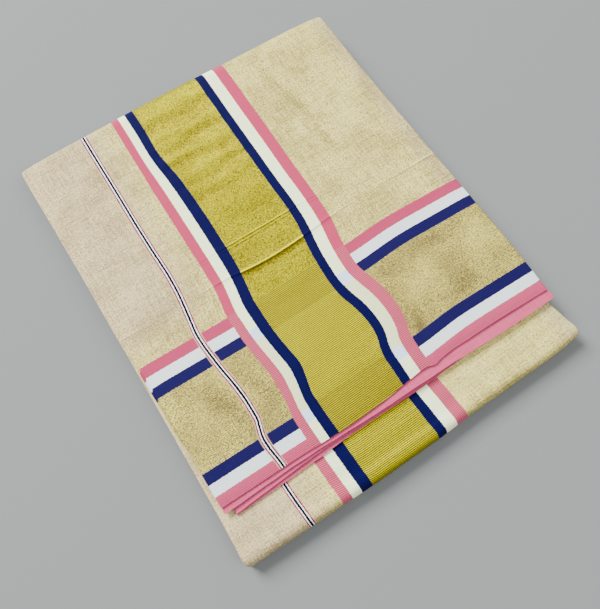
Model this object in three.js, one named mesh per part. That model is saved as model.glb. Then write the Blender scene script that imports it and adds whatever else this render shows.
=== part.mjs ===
import * as THREE from "three";

// A gold-shot tissue saree with a striped end piece (pallu), folded flat into a packet.
// Millimetres, +Z up. The packet lies on z = 0 with its length along Y: the far fold is towards
// +Y, the near fold and the loose selvedges are towards -Y.
//
// How it is folded. The 5.5 m length is turned over and over into a pile one packet wide. The pile
// is folded in half across the saree's width, which makes the near fold, and then over again, which
// makes the far fold and brings the selvedge side on top. The outermost turn of cloth therefore
// runs from its selvedge over the upper leaf, round the far fold, along the underside, round the
// near fold and back in between the two leaves.

// ---- driving sizes ---------------------------------------------------------------------------

const WALL = 1.1; // pressed thickness of a stretch of the outermost turn
const LEAF = 1.0; // pressed thickness of a loose selvedge leaf
const GAP = 0.3; // clearance between stretches that lie on each other
const EDGE_ROUND = 0.35; // how far a pressed side edge bulges

const UPPER_TOP = 18; // height of the upper leaf over most of its length
const NEAR_FOLD_TOP = 11.4; // height of the near fold, which puffs up a little
const REACH = 156.6; // distance of either fold from the middle of the packet
const FAR_DEPTH = 9; // depth in Y of the far fold's round
const NEAR_DEPTH = 5.6; // depth in Y of the near fold's round
const CORNER_ROUND = 2.6; // how much a fold narrows at each end of its round

// The upper leaf's sides sink over this width, from the first place along the packet to the last.
const SIDE_DROOP = { depth: 0.9, width: 11, from: -82, full: -45 };
const LEAF_ROOT_Y = -82; // where the loose leaves join the hidden layers

// Hidden layers: heights of the four passes of the pile, bottom and top of each.
const PASS = {
  underside: { low: 1.4, high: 4.8 },
  inside: { low: 5.2, high: 8.6 },
  below: { low: 10.3, high: 12.9 },
  above: { low: 13.3, high: 15.9 },
};
const NEAR_PARTING = 5.7; // height of the parting between the lower passes at the near fold
const LOWER_SHARE = { above: 0.3, below: 0.65, lowerLeaf: 1 }; // how far a pass keeps to the lower leaf
const PASS_INSET = 0.5; // how far the pile lies back from the outermost turn's side edges
const BANDS = 3; // rounded bundles of layers that show on each side of a pass
const BAND_GROOVE = 0.8; // depth of the groove between two bundles
const SIDE_POINTS = 2 * BANDS - 1; // crests and grooves down a pass's side

// Half rounds of the pile's faces at the folds: depth in Y, and the heights where each starts and
// ends. A drooping one sinks at its sides with the upper leaf.
const SHELL = WALL + GAP;
const ROUNDS = {
  farOuter: { depth: FAR_DEPTH - SHELL, low: PASS.underside.low, high: PASS.above.high, droops: true },
  farInner: { depth: 4.6, low: PASS.underside.high, high: PASS.above.low, droops: false },
  nearOuter: {
    depth: NEAR_DEPTH - SHELL,
    low: PASS.underside.low,
    high: NEAR_FOLD_TOP - SHELL,
    droops: false,
  },
  nearInner: { depth: 0.8, low: PASS.underside.high, high: NEAR_PARTING, droops: false },
  slot: { depth: 0.9, low: PASS.inside.high, high: PASS.below.low, droops: false },
  slotOuter: { depth: 3.9, low: PASS.inside.low, high: PASS.below.high, droops: false },
};

// Plan outline of the two leaves: side edges at a place y along the packet.
const UPPER_OUTLINE = [
  { y: -118, left: -122.4, right: 126.2 },
  { y: -58, left: -122.6, right: 125.9 },
  { y: -20, left: -122.9, right: 125.6 },
  { y: 0, left: -125.0, right: 125.2 },
  { y: 40, left: -125.8, right: 124.8 },
  { y: 100, left: -126.4, right: 124.4 },
  { y: 147, left: -127.0, right: 125.2 },
];
const LOWER_OUTLINE = [
  { y: -152, left: -127.5, right: 127.4 },
  { y: -126, left: -126.7, right: 123.3 },
  { y: -60, left: -126.5, right: 122.8 },
  { y: 0, left: -126.7, right: 123.4 },
  { y: 100, left: -127.0, right: 124.8 },
  { y: 147, left: -127.0, right: 125.2 },
];

// Bow of the folds: how far each falls short of REACH at a place x across the packet.
const FOLD_BOW = [
  { x: -127, far: 2.4, near: 2.0 },
  { x: -100, far: 1.4, near: 1.2 },
  { x: -60, far: 0.8, near: 0.7 },
  { x: -35, far: 0.0, near: 0.0 },
  { x: 12, far: 0.0, near: 0.2 },
  { x: 36, far: 0.8, near: 1.2 },
  { x: 100, far: 1.2, near: 1.5 },
  { x: 127, far: 2.2, near: 2.6 },
];

// Height of the upper leaf along the packet: it thins towards its selvedge.
const UPPER_HEIGHT = [
  { y: -118, top: 15.7 },
  { y: -108, top: 16.2 },
  { y: -92, top: 17.0 },
  { y: -76, top: 17.7 },
  { y: -60, top: UPPER_TOP },
];

// Height of the lower leaf from its near fold inwards: a crown, a dip, then pressed flat.
const LOWER_HEIGHT = [
  { y: -151, top: NEAR_FOLD_TOP },
  { y: -147.5, top: 11.2 },
  { y: -143, top: 10.7 },
  { y: -137, top: 11.0 },
  { y: -126, top: 10.6 },
  { y: -118, top: 10.3 },
  { y: -100, top: 10.0 },
];

// Creases across the upper leaf: place along the packet, rise (or fall) and half width. A crease
// marked band lies in the gold band alone.
const CREASES = [
  { y: -6, rise: -0.3, half: 5, band: false },
  { y: 2.3, rise: 0.9, half: 5, band: false },
  { y: 22.1, rise: 0.45, half: 3, band: false },
  { y: 62, rise: -0.3, half: 8, band: true },
  { y: 76, rise: -0.3, half: 7, band: true },
  { y: 93, rise: -0.3, half: 8, band: true },
  { y: 108, rise: -0.3, half: 8, band: true },
  { y: 137, rise: -0.3, half: 8, band: true },
];
const BAND_PULL = [
  { x: -57, pull: 0 },
  { x: -36, pull: -2 },
  { x: 14, pull: -2 },
  { x: 36, pull: 0 },
  { x: 60, pull: 1.5 },
];
const BAND_SHARE = [
  { x: -56, share: 0 },
  { x: -38, share: 1 },
  { x: 16, share: 1 },
  { x: 36, share: 0 },
];

// Free selvedges, from the top leaf down: place y of the edge across the packet.
const TOP_SELVEDGE = [
  { x: -122, y: -117.8 },
  { x: -60, y: -118.6 },
  { x: -40, y: -119.5 },
  { x: 0, y: -118.4 },
  { x: 17, y: -116.8 },
  { x: 66, y: -116.3 },
  { x: 126, y: -118.0 },
];
const LOOSE_LEAVES = [
  {
    name: "selvedge_leaf_second",
    level: 2,
    root: 14.8,
    left: -122.4,
    right: 127.0,
    edge: [
      { x: -122, y: -121.8 },
      { x: -60, y: -121.1 },
      { x: -20, y: -122.5 },
      { x: 45, y: -123.3 },
      { x: 100, y: -125.0 },
      { x: 127, y: -124.8 },
    ],
  },
  {
    name: "selvedge_leaf_third",
    level: 1,
    root: 13.2,
    left: -116.6,
    right: 121.0,
    edge: [
      { x: -116, y: -125.4 },
      { x: -90, y: -124.0 },
      { x: -60, y: -122.8 },
      { x: -35, y: -122.3 },
      { x: 121, y: -122.3 },
    ],
  },
  {
    name: "selvedge_leaf_fourth",
    level: 0,
    root: 10.8,
    left: -116.8,
    right: 121.4,
    edge: [
      { x: -116, y: -126.1 },
      { x: -60, y: -125.5 },
      { x: -40, y: -124.8 },
      { x: 30, y: -124.8 },
      { x: 60, y: -123.2 },
      { x: 121, y: -123.0 },
    ],
  },
];

// Grid lines: shares of the width, and places along the packet.
const FINE_COLUMNS = [
  0, 0.012, 0.04, 0.1, 0.18, 0.27, 0.34, 0.42, 0.5, 0.58, 0.66, 0.75, 0.83, 0.9, 0.96, 0.988, 1,
];
const PLAIN_COLUMNS = [0, 0.04, 0.18, 0.34, 0.5, 0.66, 0.83, 0.96, 1];
const PILE_COLUMNS = [0, 0.04, 0.35, 0.65, 0.96, 1];
const UPPER_ROWS = [
  -112, -104, -92, -76, -60, -40, -22, -14, -9.5, -6, -2.5, 0, 2.3, 4.6, 8, 14, 18.5, 20.5, 22.2, 24,
  27, 36, 48, 55, 62, 69, 76, 85, 93, 101, 108, 116, 124, 131, 137, 143,
];
const UNDERSIDE_ROWS = [120, 60, 0, -60, -120];
const LOWER_ROWS = [-147.5, -143, -140, -137, -131, -126, -118, -100, -60, 0, 80, 143];
const LEAF_ROWS = [0, 0.12, 0.3, 0.55, 0.8, 1]; // shares of a loose leaf from its edge to its root
const PILE_ROWS = {
  upper: [LEAF_ROOT_Y + GAP, -60, -20, 0, 40, 100, 138],
  underside: [138, 60, -40, -120, -143],
  inside: [-147.5, -143, -140, -137, -131, -118, -60, 20, 100, 138],
};
const FOLD_STEPS = 8;

const COLOURS = { pallu: "#d2bb3c", tissue: "#cdc1a5", pink: "#e0879a" };

// ---- small tools -----------------------------------------------------------------------------

// Reads a column of a table, whose rows are in order of their key, at a place: straight between
// its rows and level beyond its ends.
function read(table, key, place, column) {
  const next = table.findIndex((row) => place <= row[key]);
  if (next === 0) {
    return table[0][column];
  }
  if (next < 0) {
    return table[table.length - 1][column];
  }
  const before = table[next - 1];
  const after = table[next];
  const share = (place - before[key]) / (after[key] - before[key]);
  return THREE.MathUtils.lerp(before[column], after[column], share);
}

// A place across the packet from a share of the width.
function across(outline, y, share) {
  return THREE.MathUtils.lerp(read(outline, "y", y, "left"), read(outline, "y", y, "right"), share);
}

// How far the upper leaf's sides sink at a place along it and a share of its width.
function sideDroop(y, share) {
  const fromSide = Math.min(share, 1 - share) * (UPPER_OUTLINE[0].right - UPPER_OUTLINE[0].left);
  const towardsSide = 1 - THREE.MathUtils.smoothstep(fromSide, 0, SIDE_DROOP.width);
  const alongLeaf = THREE.MathUtils.smoothstep(y, SIDE_DROOP.from, SIDE_DROOP.full);
  return SIDE_DROOP.depth * towardsSide * alongLeaf;
}

// Rise of the creases at a place on the upper leaf.
function creaseRise(x, y) {
  let rise = 0;
  for (const crease of CREASES) {
    const away = Math.abs(y - crease.y - read(BAND_PULL, "x", x, "pull")) / crease.half;
    const share = crease.band ? read(BAND_SHARE, "x", x, "share") : 1;
    if (away < 1) {
      rise += share * crease.rise * Math.cos((away * Math.PI) / 2) ** 2;
    }
  }
  return rise;
}

// ---- the way the cloth takes -----------------------------------------------------------------
// Each of these gives a point of the outer face at a share of the width, with the unit vector
// (ny, nz) that points out of the cloth there.

function onUpperLeaf(y, share) {
  const x = across(UPPER_OUTLINE, y, share);
  const height = read(UPPER_HEIGHT, "y", y, "top") - sideDroop(y, share) + creaseRise(x, y);
  return { x, y, z: height, ny: 0, nz: 1 };
}

function onTopSelvedge(share) {
  const x = across(UPPER_OUTLINE, TOP_SELVEDGE[0].y, share);
  return onUpperLeaf(read(TOP_SELVEDGE, "x", x, "y"), share);
}

function onUnderside(y, share) {
  return { x: across(LOWER_OUTLINE, y, share), y, z: 0, ny: 0, nz: -1 };
}

function onLowerLeaf(y, share) {
  const top = read(LOWER_HEIGHT, "y", y, "top");
  return { x: across(LOWER_OUTLINE, y, share), y, z: top, ny: 0, nz: 1 };
}

// Middle of a fold's round, in Y, at a place x. side is 1 for the far fold and -1 for the near.
function foldMiddle(side, x) {
  const depth = side > 0 ? FAR_DEPTH : NEAR_DEPTH;
  const bow = read(FOLD_BOW, "x", x, side > 0 ? "far" : "near");
  return side * (REACH - depth - bow);
}

// A point on a fold's half round, turned from its top (angle 90) to its bottom (angle -90).
function onFold(side, angle, share, top) {
  const outline = side > 0 ? UPPER_OUTLINE : LOWER_OUTLINE;
  const depth = side > 0 ? FAR_DEPTH : NEAR_DEPTH;
  const turn = THREE.MathUtils.degToRad(angle);
  const narrowing = CORNER_ROUND * (1 - 2 * share) * Math.cos(turn) ** 3;
  const x = across(outline, side * (REACH - depth), share) + narrowing;
  const radius = top / 2;
  return {
    x,
    y: foldMiddle(side, x) + side * depth * Math.cos(turn),
    z: radius + radius * Math.sin(turn),
    ny: side * Math.cos(turn),
    nz: Math.sin(turn),
  };
}

// ---- skins -----------------------------------------------------------------------------------

// Faces of an end cap, in the ring's own order: a strip between the outer and inner rows, and a fan
// of triangles over each side edge, from the outer row's point next to that edge.
function capFaces({ columns, sides }) {
  const last = columns - 1;
  const innerOf = (i) => 2 * last + sides + 1 - i;
  const fan = (centre, rim) => rim.slice(1).map((corner, i) => [centre, rim[i], corner]);
  const rightRim = Array.from({ length: sides + 3 }, (_, i) => last + i);
  const leftRim = [...Array.from({ length: sides + 2 }, (_, i) => innerOf(1) + i), 0];
  const faces = [...fan(last - 1, rightRim), ...fan(1, leftRim)];
  for (let i = 1; i + 1 < last; i += 1) {
    faces.push([i, i + 1, innerOf(i + 1)], [i, innerOf(i + 1), innerOf(i)]);
  }
  return faces;
}

// Closes rings of points into one solid. A ring holds an outer row of points, the points of one
// side edge, an inner row and the other side edge; layout says how many points each has.
function closedSkin(rings, layout) {
  const size = rings[0].length;
  const positions = rings.flatMap((ring) => ring.flatMap((point) => point.toArray()));
  const faces = [];
  for (let r = 0; r + 1 < rings.length; r += 1) {
    for (let i = 0; i < size; i += 1) {
      const here = r * size + i;
      const next = r * size + ((i + 1) % size);
      faces.push([here, next, next + size], [here, next + size, here + size]);
    }
  }
  const last = (rings.length - 1) * size;
  for (const [a, b, c] of capFaces(layout)) {
    faces.push([c, b, a], [a + last, b + last, c + last]);
  }
  const geometry = new THREE.BufferGeometry();
  geometry.setAttribute("position", new THREE.Float32BufferAttribute(positions, 3));
  const outward = signedVolume(positions, faces) > 0;
  geometry.setIndex(faces.flatMap(([a, b, c]) => (outward ? [a, b, c] : [a, c, b])));
  geometry.computeVertexNormals();
  return geometry;
}

function signedVolume(positions, faces) {
  const corner = (i) => new THREE.Vector3().fromArray(positions, 3 * i);
  let total = 0;
  for (const [a, b, c] of faces) {
    total += corner(a).dot(corner(b).cross(corner(c))) / 6;
  }
  return total;
}

// One ring round a pressed sheet, whose two side edges bulge a little.
function sheetRing(row, columns, wall) {
  const places = columns.map(row);
  const last = places.length - 1;
  const sunk = ({ x, y, z, ny, nz }, depth) => new THREE.Vector3(x, y - ny * depth, z - nz * depth);
  const face = (depth) => {
    const points = places.map((place) => sunk(place, depth));
    points[0].x += EDGE_ROUND;
    points[last].x -= EDGE_ROUND;
    return points;
  };
  return [...face(0), sunk(places[last], wall / 2), ...face(wall).reverse(), sunk(places[0], wall / 2)];
}

function clothMesh(name, colour, geometry) {
  const material = new THREE.MeshStandardMaterial({ color: colour, roughness: 0.75, metalness: 0.1 });
  const mesh = new THREE.Mesh(geometry, material);
  mesh.name = name;
  return mesh;
}

function sheet(name, colour, rows, columns, wall) {
  const rings = rows.map((row) => sheetRing(row, columns, wall));
  return clothMesh(name, colour, closedSkin(rings, { columns: columns.length, sides: 1 }));
}

// ---- stretches of the outermost turn -----------------------------------------------------------

function foldAngles(first, last) {
  const steps = Array.from({ length: FOLD_STEPS + 1 }, (_, i) => i / FOLD_STEPS);
  return steps.map((share) => THREE.MathUtils.lerp(first, last, share));
}

// From the top selvedge to where the far fold begins.
function upperLeaf() {
  const rows = UPPER_ROWS.map((y) => (share) => onUpperLeaf(y, share));
  return sheet("upper_leaf", COLOURS.pallu, [onTopSelvedge, ...rows], FINE_COLUMNS, WALL);
}

// The far fold's half round, and the short flats that lead into it above and below.
function farFold() {
  const lead = UPPER_ROWS[UPPER_ROWS.length - 1] + GAP;
  const top = (share) => UPPER_TOP - sideDroop(lead, share);
  const rows = [
    (share) => ({ ...onUpperLeaf(lead, share), z: top(share) }),
    ...foldAngles(90, -90).map((angle) => (share) => onFold(1, angle, share, top(share))),
    (share) => onUnderside(lead, share),
  ];
  return sheet("far_fold", COLOURS.pallu, rows, FINE_COLUMNS, WALL);
}

// The flat stretch that the packet rests on.
function underside() {
  const far = UPPER_ROWS[UPPER_ROWS.length - 1];
  const near = LOWER_ROWS[0] + GAP;
  const rows = [far, ...UNDERSIDE_ROWS, near].map((y) => (share) => onUnderside(y, share));
  return sheet("underside", COLOURS.pallu, rows, PLAIN_COLUMNS, WALL);
}

// From the underside round the near fold, over the strip that shows and in under the upper leaf.
function nearFoldAndStrip() {
  const rows = [
    (share) => onUnderside(LOWER_ROWS[0], share),
    ...foldAngles(-90, 90).map((angle) => (share) => onFold(-1, angle, share, NEAR_FOLD_TOP)),
    ...LOWER_ROWS.map((y) => (share) => onLowerLeaf(y, share)),
  ];
  return sheet("near_fold_strip", COLOURS.pallu, rows, FINE_COLUMNS, WALL);
}

// ---- loose selvedge leaves of the turns below ----------------------------------------------------

// Leaves rest on each other at their selvedges and spread to their places in the pile inwards.
function looseLeaf({ name, level, root, left, right, edge }) {
  const resting = (y) => read(LOWER_HEIGHT, "y", y, "top") + GAP + LEAF + level * (LEAF + GAP);
  const rows = LEAF_ROWS.map((along) => (share) => {
    const x = THREE.MathUtils.lerp(left, right, share);
    const y = THREE.MathUtils.lerp(read(edge, "x", x, "y"), LEAF_ROOT_Y, along);
    const spread = THREE.MathUtils.smoothstep(along, 0.15, 1);
    return { x, y, z: THREE.MathUtils.lerp(resting(y), root + LEAF, spread), ny: 0, nz: 1 };
  });
  return sheet(name, COLOURS.pink, rows, PLAIN_COLUMNS, LEAF);
}

// ---- hidden layers -------------------------------------------------------------------------------

// One ring round the pile, between its outside and inside faces, each a function that gives y and z
// at a share of the width. lower is how much of the lower leaf's outline the pass follows.
function pileRing({ outside, inside, lower, narrow }) {
  const inset = PASS_INSET + narrow;
  const place = (face, share) => {
    const { y, z } = face(share);
    const upper = across(UPPER_OUTLINE, y, share);
    const x = THREE.MathUtils.lerp(upper, across(LOWER_OUTLINE, y, share), lower);
    return new THREE.Vector3(x + inset * (1 - 2 * share), y, z);
  };
  const row = (face) => {
    const points = PILE_COLUMNS.map((share) => place(face, share));
    points[0].x += BAND_GROOVE / 2;
    points[points.length - 1].x -= BAND_GROOVE / 2;
    return points;
  };
  const sideProfile = (share) =>
    Array.from({ length: SIDE_POINTS }, (_, i) => {
      const point = place(outside, share).lerp(place(inside, share), (i + 1) / (SIDE_POINTS + 1));
      point.x += i % 2 === 1 ? BAND_GROOVE * (1 - 2 * share) : 0;
      return point;
    });
  return [...row(outside), ...sideProfile(1), ...row(inside).reverse(), ...sideProfile(0).reverse()];
}

// Rings of a level pass, whose two faces are functions of the place along it and of the share.
function levelPass(places, outsideHeight, insideHeight, lower) {
  return places.map((y) => ({
    outside: (share) => ({ y, z: outsideHeight(y, share) }),
    inside: (share) => ({ y, z: insideHeight(y, share) }),
    lower,
    narrow: 0,
  }));
}

// A point on a half round of the pile at a fold.
function onRound(side, round, angle, share) {
  const turn = THREE.MathUtils.degToRad(angle);
  const x = across(side > 0 ? UPPER_OUTLINE : LOWER_OUTLINE, side * REACH, share);
  const high = round.high - (round.droops ? sideDroop(REACH, share) : 0);
  return {
    y: foldMiddle(side, x) + side * round.depth * Math.cos(turn),
    z: (high + round.low) / 2 + ((high - round.low) / 2) * Math.sin(turn),
  };
}

// Rings of the pile's turn about a fold, between two half rounds.
function turnedPass(side, first, last, outsideRound, insideRound, lowerFirst, lowerLast) {
  return foldAngles(first, last).map((angle, i) => ({
    outside: (share) => onRound(side, outsideRound, angle, share),
    inside: (share) => onRound(side, insideRound, angle, share),
    lower: THREE.MathUtils.lerp(lowerFirst, lowerLast, i / FOLD_STEPS),
    narrow: CORNER_ROUND * Math.cos(THREE.MathUtils.degToRad(angle)) ** 3,
  }));
}

// The pile of inner turns: above in the upper leaf, round the far fold, along the underside,
// round the near fold, back inside the lower leaf, round again, and below in the upper leaf.
function hiddenLayers() {
  const { above, below, lowerLeaf } = LOWER_SHARE;
  const { farOuter, farInner, nearOuter, nearInner, slot, slotOuter } = ROUNDS;
  const steady = (z) => () => z;
  const aboveTop = (y, share) => PASS.above.high - sideDroop(y, share);
  const insideTop = (y) => read(LOWER_HEIGHT, "y", y, "top") - SHELL;
  const insideLow = (y) => (y < PILE_ROWS.inside[1] ? NEAR_PARTING : PASS.inside.low);
  const { underside: under } = PASS;
  const way = [
    ...levelPass(PILE_ROWS.upper, aboveTop, steady(PASS.above.low), above),
    ...turnedPass(1, 90, -90, farOuter, farInner, above, lowerLeaf),
    ...levelPass(PILE_ROWS.underside, steady(under.low), steady(under.high), lowerLeaf),
    ...turnedPass(-1, -90, 90, nearOuter, nearInner, lowerLeaf, lowerLeaf),
    ...levelPass(PILE_ROWS.inside, insideTop, insideLow, lowerLeaf),
    ...turnedPass(1, -90, 90, slot, slotOuter, lowerLeaf, below),
    ...levelPass([...PILE_ROWS.upper].reverse(), steady(PASS.below.low), steady(PASS.below.high), below),
  ];
  const layout = { columns: PILE_COLUMNS.length, sides: SIDE_POINTS };
  return clothMesh("hidden_layers", COLOURS.tissue, closedSkin(way.map(pileRing), layout));
}

// ---- the folded saree ------------------------------------------------------------------------------

const group = new THREE.Group();
group.add(upperLeaf(), farFold(), underside(), nearFoldAndStrip());
for (const leaf of LOOSE_LEAVES) {
  group.add(looseLeaf(leaf));
}
group.add(hiddenLayers());

export default group;
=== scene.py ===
# %% [markdown]
# # A tissue saree, folded flat
# A saree is one uncut length of cloth, here 5.5 m long and 1.18 m wide. Its length is turned over
# and over into a pile one packet wide. The pile is folded in half across the saree's width, which
# makes the near fold, and then over again, which makes the far fold and brings a selvedge on top.
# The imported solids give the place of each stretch. Here finer cloth is laid over them, and then
# it gets its weave, its stripes and its gold thread.

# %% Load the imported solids
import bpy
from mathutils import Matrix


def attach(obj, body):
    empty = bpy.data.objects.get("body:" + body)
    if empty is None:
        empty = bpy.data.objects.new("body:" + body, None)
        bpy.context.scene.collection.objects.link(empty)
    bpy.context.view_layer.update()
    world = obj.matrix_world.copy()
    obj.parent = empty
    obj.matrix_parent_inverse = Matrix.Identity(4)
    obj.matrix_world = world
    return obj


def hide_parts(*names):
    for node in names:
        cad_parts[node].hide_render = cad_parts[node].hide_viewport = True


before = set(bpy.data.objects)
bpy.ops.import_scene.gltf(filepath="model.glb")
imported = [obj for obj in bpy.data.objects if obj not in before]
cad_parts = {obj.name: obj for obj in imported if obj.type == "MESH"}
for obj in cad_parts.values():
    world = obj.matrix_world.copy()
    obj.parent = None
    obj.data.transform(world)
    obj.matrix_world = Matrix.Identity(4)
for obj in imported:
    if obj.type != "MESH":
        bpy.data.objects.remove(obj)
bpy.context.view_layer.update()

import math

import bpy
import numpy as np
from mathutils import Vector, noise

MM = 0.001
print("nodes:", sorted(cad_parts))

# %% [markdown]
# ## Camera
# The camera stands over the near left of the packet and looks down at 72 degrees. A lens can be
# placed by its angles or by the point it looks at. The point is easier to check by eye, and a small
# roll then levels the packet in the frame.

# %% Camera
EYE = Vector((-0.0768, -0.1337, 0.3678))
AIM = Vector((-0.0146, -0.0367, 0.0100))
ROLL, LENS = math.radians(-0.44), 33.6
bpy.ops.object.camera_add(location=EYE)
camera = bpy.context.object
camera.rotation_euler = (EYE - AIM).to_track_quat("Z", "Y").to_euler()
camera.rotation_euler.rotate_axis("Z", ROLL)
camera.data.lens = LENS
bpy.context.scene.camera = camera
print("camera stands", round((EYE - AIM).length, 3), "m from the point it looks at")

# %% [markdown]
# ## Floor and light
# A studio sweep could be a curved backdrop, but the packet is seen from above, so one flat pale
# floor is enough. A broad lamp beyond the far fold rakes over the cloth and shows its creases. A
# weaker one on the near side and an even surround keep the shadows soft.

# %% Floor and light
def lamp(name, place, aim, size, power):
    bpy.ops.object.light_add(type="AREA", location=place)
    light = bpy.context.object
    light.name = name
    light.data.size = size
    light.data.energy = power
    light.rotation_euler = (Vector(place) - Vector(aim)).to_track_quat("Z", "Y").to_euler()
    return light


lamp("far lamp", (-0.9, 2.55, 2.16), (0, 0, 0), 1.6, 420)
lamp("near lamp", (1.1, -1.3, 2.4), (0, 0, 0), 2.2, 66)

world = bpy.data.worlds.new("studio")
world.use_nodes = True
world.node_tree.nodes["Background"].inputs["Color"].default_value = (0.93, 0.96, 1.0, 1)
world.node_tree.nodes["Background"].inputs["Strength"].default_value = 0.65
bpy.context.scene.world = world

bpy.ops.object.select_all(action="DESELECT")
bpy.ops.mesh.primitive_plane_add(size=6, location=(0, 0, 0))
floor = bpy.context.object
floor.name = "floor"

# %% [markdown]
# ## The packet's shape
# Every size below is in millimetres and belongs to a stretch of cloth: side edges, folds, heights
# along the leaves and free selvedges. "Across" and "along" are the packet's own directions, so the
# saree's length lies across it and its width along it. Cloth has few straight lines, so a table of
# a few places is read along a soft curve.

# %% Sizes of the packet
WALL = 0.7  # how thick the outermost turn and a loose leaf are modelled
GAP = 0.3  # between pieces that lie on each other
UPPER_WIDTH, LOWER_WIDTH = 249, 252  # across the two leaves, between their side edges
UPPER_TOP = 18  # height of the upper leaf at the far fold
NEAR_TOP = 11.4  # height of the near fold
# A fold: its side of the packet, where its round starts, how deep it is, its column of FOLD_BOW.
FAR = {"side": 1, "middle": 147.6, "depth": 9.0, "bow": 1}
NEAR = {"side": -1, "middle": 151.0, "depth": 5.6, "bow": 2}
CORNER = 1.8  # how much a fold narrows at each end of its round
SELVEDGE = -118  # where the upper leaf ends, on average
LEAF_ROOT = -82  # where the loose leaves leave the pile
STRIP_END = 143  # where the outermost turn stops between the leaves, close to the far fold
# How the upper leaf's sides sink: how deep, how far in, from where fully, and the leaf's width at
# its selvedge, which the distance in is counted over.
DROOP = {"depth": 0.9, "reach": 11, "full": -45, "width": 248.6}

# Rows of (place along the packet, left side edge, right side edge).
UPPER_SIDES = np.array([
    (-118, -122.4, 126.2), (-58, -122.6, 125.9), (-20, -122.9, 125.6), (0, -125.0, 125.2),
    (40, -125.8, 124.8), (100, -126.4, 124.4), (147, -127.0, 125.2),
])
LOWER_SIDES = np.array([
    (-152, -127.5, 127.4), (-126, -126.7, 123.3), (-60, -126.5, 122.8), (0, -126.7, 123.4),
    (100, -127.0, 124.8), (147, -127.0, 125.2),
])
# Rows of (place across, how far the far fold falls short, how far the near fold does).
FOLD_BOW = np.array([
    (-127, 2.4, 2.0), (-100, 1.4, 1.2), (-60, 0.8, 0.7), (-35, 0.0, 0.0), (12, 0.0, 0.2),
    (36, 0.8, 1.2), (100, 1.2, 1.5), (127, 2.2, 2.6),
])
# Rows of (place along, height of the top face).
UPPER_HEIGHT = np.array([(-118, 15.7), (-108, 16.2), (-92, 17.0), (-76, 17.7), (-60, UPPER_TOP)])
LOWER_HEIGHT = np.array([
    (-151, NEAR_TOP), (-147.5, 11.2), (-143, 10.7), (-137, 11.0), (-126, 10.6), (-118, 10.3),
    (-100, 10.0),
])
# Rows of (place across, place along) of the top leaf's free selvedge.
TOP_SELVEDGE = np.array([
    (-122, -117.8), (-60, -118.6), (-40, -119.5), (0, -118.4), (17, -116.8), (30, -116.6),
    (34, -117.9), (39, -117.0), (66, -116.3), (126, -118.0),
])


def straight(table, place, column=1):
    """A column of a table at a place, straight between its rows."""
    return np.interp(place, table[:, 0], table[:, column])


def curve(table, place, column=1):
    """A column of a table at a place, along a soft curve through its rows."""
    keys, values = table[:, 0], table[:, column]
    slopes = np.gradient(values, keys)
    i = np.clip(np.searchsorted(keys, place) - 1, 0, len(keys) - 2)
    span = keys[i + 1] - keys[i]
    t = np.clip((place - keys[i]) / span, 0, 1)
    rise = values[i] + (values[i + 1] - values[i]) * t * t * (3 - 2 * t)
    return rise + span * t * (1 - t) * (slopes[i] * (1 - t) - slopes[i + 1] * t)


def ease(place, first, last):
    """0 before the first place, 1 after the last, and a soft step between them."""
    t = np.clip((place - first) / (last - first), 0, 1)
    return t * t * (3 - 2 * t)


def across(sides, y, share):
    """The place across at a share of the way from the left side edge to the right one."""
    left = straight(sides, y, 1)
    return left + (straight(sides, y, 2) - left) * share


def fold_middle(fold, x):
    """Where a fold's round starts at a place across."""
    return fold["side"] * (fold["middle"] - straight(FOLD_BOW, x, fold["bow"]))


def side_droop(y, share):
    """How far the upper leaf's sides sink at a place."""
    from_side = np.minimum(share, 1 - share) * DROOP["width"]
    return DROOP["depth"] * (1 - ease(from_side, 0, DROOP["reach"])) * ease(y, LEAF_ROOT, DROOP["full"])


print("the packet is", UPPER_TOP, "mm high at the far fold and", NEAR_TOP, "mm at the near fold")

# %% [markdown]
# ## Creases and soft hollows
# Pressed cloth keeps the lines it was folded on. Two run across the upper leaf: a fine double one
# and a sharper one. The gold band is stiff with metal thread, so it ripples across itself, and the
# border puckers where its stripes were pulled aside. A simulation would lose these exact places,
# so each is listed, and low noise between them keeps the cloth from looking ironed.

# %% Creases
# Rows of (place across, place along of the sharp crease, its height there, height of the fine one).
LONG_CREASES = np.array([
    (-127, 3.4, 0.16, 0.08), (-60, 2.6, 0.22, 0.14), (-54, 2.4, 0.42, 0.20), (-42, 1.8, 0.52, 0.24),
    (-34, 0.6, 0.70, 0.34), (10, 0.3, 0.64, 0.34), (22, 1.4, 0.52, 0.24), (36, 2.8, 0.42, 0.20),
    (44, 3.3, 0.26, 0.10), (127, 4.0, 0.40, 0.16),
])
FINE_CREASE = 20.6
FINE_PAIR = ((1.4, 1.0), (-0.9, 0.7))  # its two lines: how far from the crease, share of its height
# A pressed crease's section: place from its ridge, far side positive, and share of its height.
CREASE_SHAPE = np.array([
    (-12, 0), (-7, -0.30), (-4, -0.55), (-1.5, -0.30), (-0.5, 0.25), (-0.1, 0.90), (0.2, 1.0),
    (0.8, 0.60), (2.2, 0.25), (6, 0),
])
# Ripples across the gold band: place along, rise, half width, slant.
GOLD_RIPPLES = (
    (141, 0.34, 6, 0.02), (131, -0.44, 6, 0.05), (119, 0.34, 5, -0.04), (109, -0.48, 6, 0.06),
    (100, 0.28, 5, 0.03), (93, -0.44, 5, -0.05), (84, 0.26, 5, 0.04), (76, -0.36, 5, 0.07),
    (62, -0.36, 6, 0.03), (50, 0.22, 6, -0.02), (36, -0.22, 6, 0.02), (-30, -0.16, 6, 0.03),
    (-76.5, -0.22, 1.6, 0.0), (-97, -0.16, 5, 0.0),
)
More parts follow.
